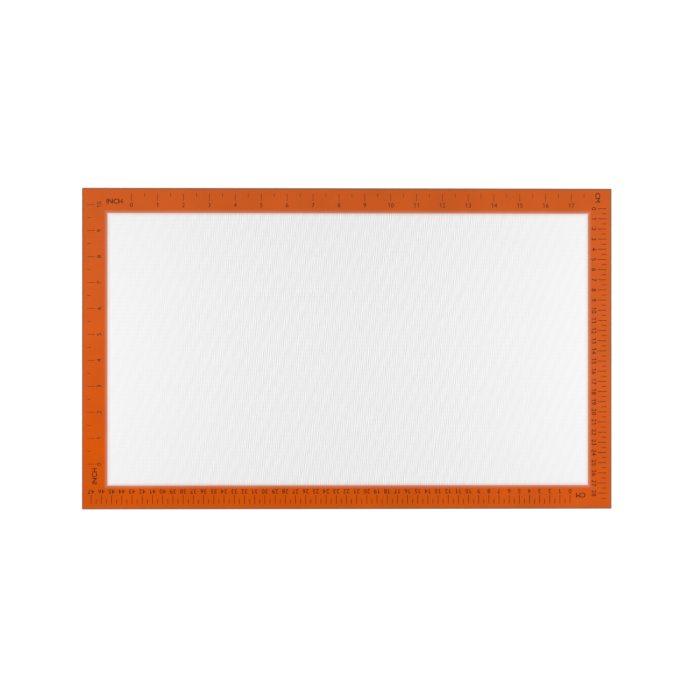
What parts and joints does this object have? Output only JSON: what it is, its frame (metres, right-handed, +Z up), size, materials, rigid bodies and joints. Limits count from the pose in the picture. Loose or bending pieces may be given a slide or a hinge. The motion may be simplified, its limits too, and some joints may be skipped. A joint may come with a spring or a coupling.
{
  "type": "baking mat",
  "caption": "Rectangular silicone baking mat: woven glass cloth between two silicone coats, with sealed edges and a coloured printed border that carries inch and centimetre rulers.",
  "frame": {"origin": "centre of the mat's underside, where it lies on the tray or worktop", "axes": "+X along the mat's length, +Y across it towards the side with the long inch ruler, +Z up out of the printed face"},
  "size_m": [0.52, 0.315, 0.0008],
  "materials": {
    "silicone": "matt translucent white, with the weave showing through",
    "glass_cloth": "woven glass yarn",
    "border": "satin orange silicone print over the weave",
    "ink": "matt near-black print"
  },
  "bodies": {
    "root": {"base_coat": "silicone", "glass_cloth": "glass_cloth", "top_coat": "silicone", "edge_bead_back": "border", "edge_bead_right": "border", "edge_bead_front": "border", "edge_bead_left": "border", "printed_border": "border"}
  },
  "joints": []
}
